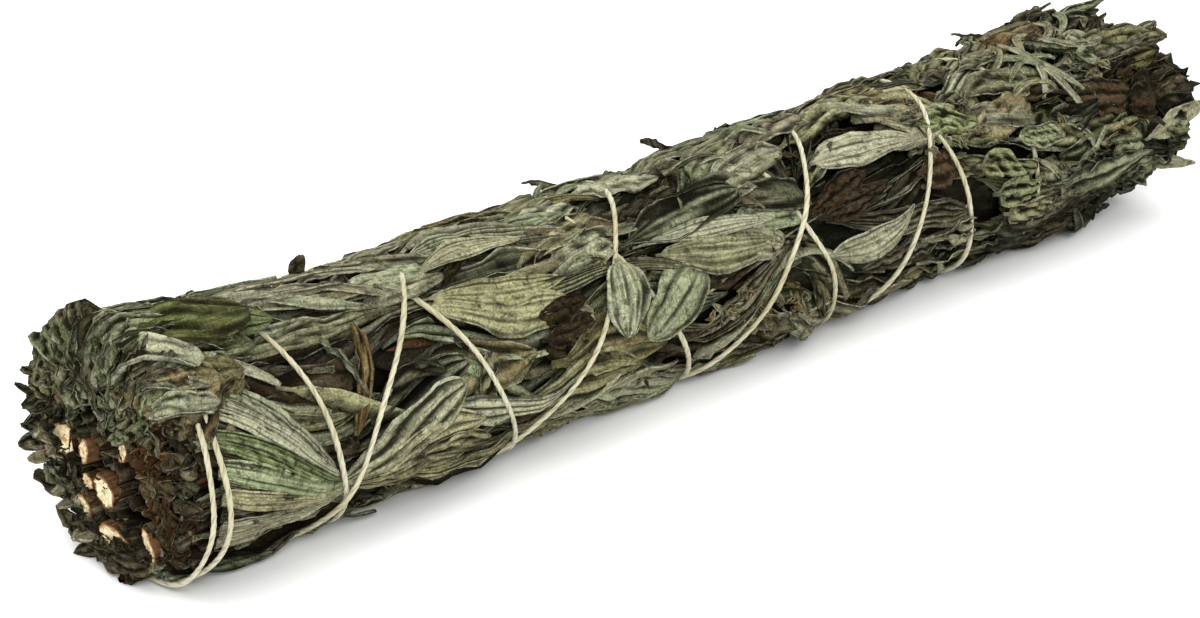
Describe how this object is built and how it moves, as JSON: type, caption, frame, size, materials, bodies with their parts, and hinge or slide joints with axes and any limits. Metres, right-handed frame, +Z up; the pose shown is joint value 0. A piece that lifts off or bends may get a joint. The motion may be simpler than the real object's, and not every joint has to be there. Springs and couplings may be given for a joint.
{
  "type": "herb smudge stick",
  "caption": "Bundle of dried leafy sage sprigs, cut level at the stem end and bound along its length with criss-crossed cotton string; it lies on its side.",
  "frame": {"origin": "under the middle of the bundle, on the surface that it lies on", "axes": "+X along the bundle from the cut stems to the leaf tips, +Z up"},
  "size_m": [0.219, 0.0454, 0.0406],
  "materials": {
    "stem": "dry brown bark with pale woody cut ends",
    "foliage": "dark, pressed dried leaves",
    "leaf": "matt, felted grey-green dried leaf",
    "string": "undyed twisted cotton"
  },
  "bodies": {
    "root": {"sprig_01_stem": "stem", "sprig_02_stem": "stem", "sprig_03_stem": "stem", "sprig_04_stem": "stem", "sprig_05_stem": "stem", "sprig_06_stem": "stem", "sprig_07_stem": "stem", "sprig_08_stem": "stem", "sprig_09_stem": "stem", "sprig_10_stem": "stem", "sprig_11_stem": "stem", "sprig_12_stem": "stem", "sprig_13_stem": "stem", "sprig_14_stem": "stem", "sprig_15_stem": "stem", "sprig_16_stem": "stem", "sprig_17_stem": "stem", "sprig_18_stem": "stem", "sprig_01_foliage": "foliage", "sprig_02_foliage": "foliage", "sprig_03_foliage": "foliage", "sprig_04_foliage": "foliage", "sprig_05_foliage": "foliage", "sprig_06_foliage": "foliage", "sprig_07_foliage": "foliage", "sprig_08_foliage": "foliage", "sprig_09_foliage": "foliage", "sprig_10_foliage": "foliage", "heart_foliage": "foliage", "sprig_08_leaf_1": "leaf", "sprig_09_leaf_1": "leaf", "sprig_10_leaf_1": "leaf", "sprig_01_leaf_1": "leaf", "sprig_02_leaf_1": "leaf", "sprig_03_leaf_1": "leaf", "sprig_08_leaf_2": "leaf", "sprig_09_leaf_2": "leaf", "sprig_01_leaf_2": "leaf", "sprig_02_leaf_2": "leaf", "sprig_03_leaf_2": "leaf", "sprig_08_leaf_3": "leaf", "sprig_09_leaf_3": "leaf", "sprig_10_leaf_2": "leaf", "sprig_01_leaf_3": "leaf", "sprig_02_leaf_3": "leaf", "sprig_03_leaf_3": "leaf", "sprig_08_leaf_4": "leaf", "sprig_09_leaf_4": "leaf", "sprig_01_leaf_4": "leaf", "sprig_02_leaf_4": "leaf", "sprig_03_leaf_4": "leaf", "binding_string": "string"}
  },
  "joints": []
}
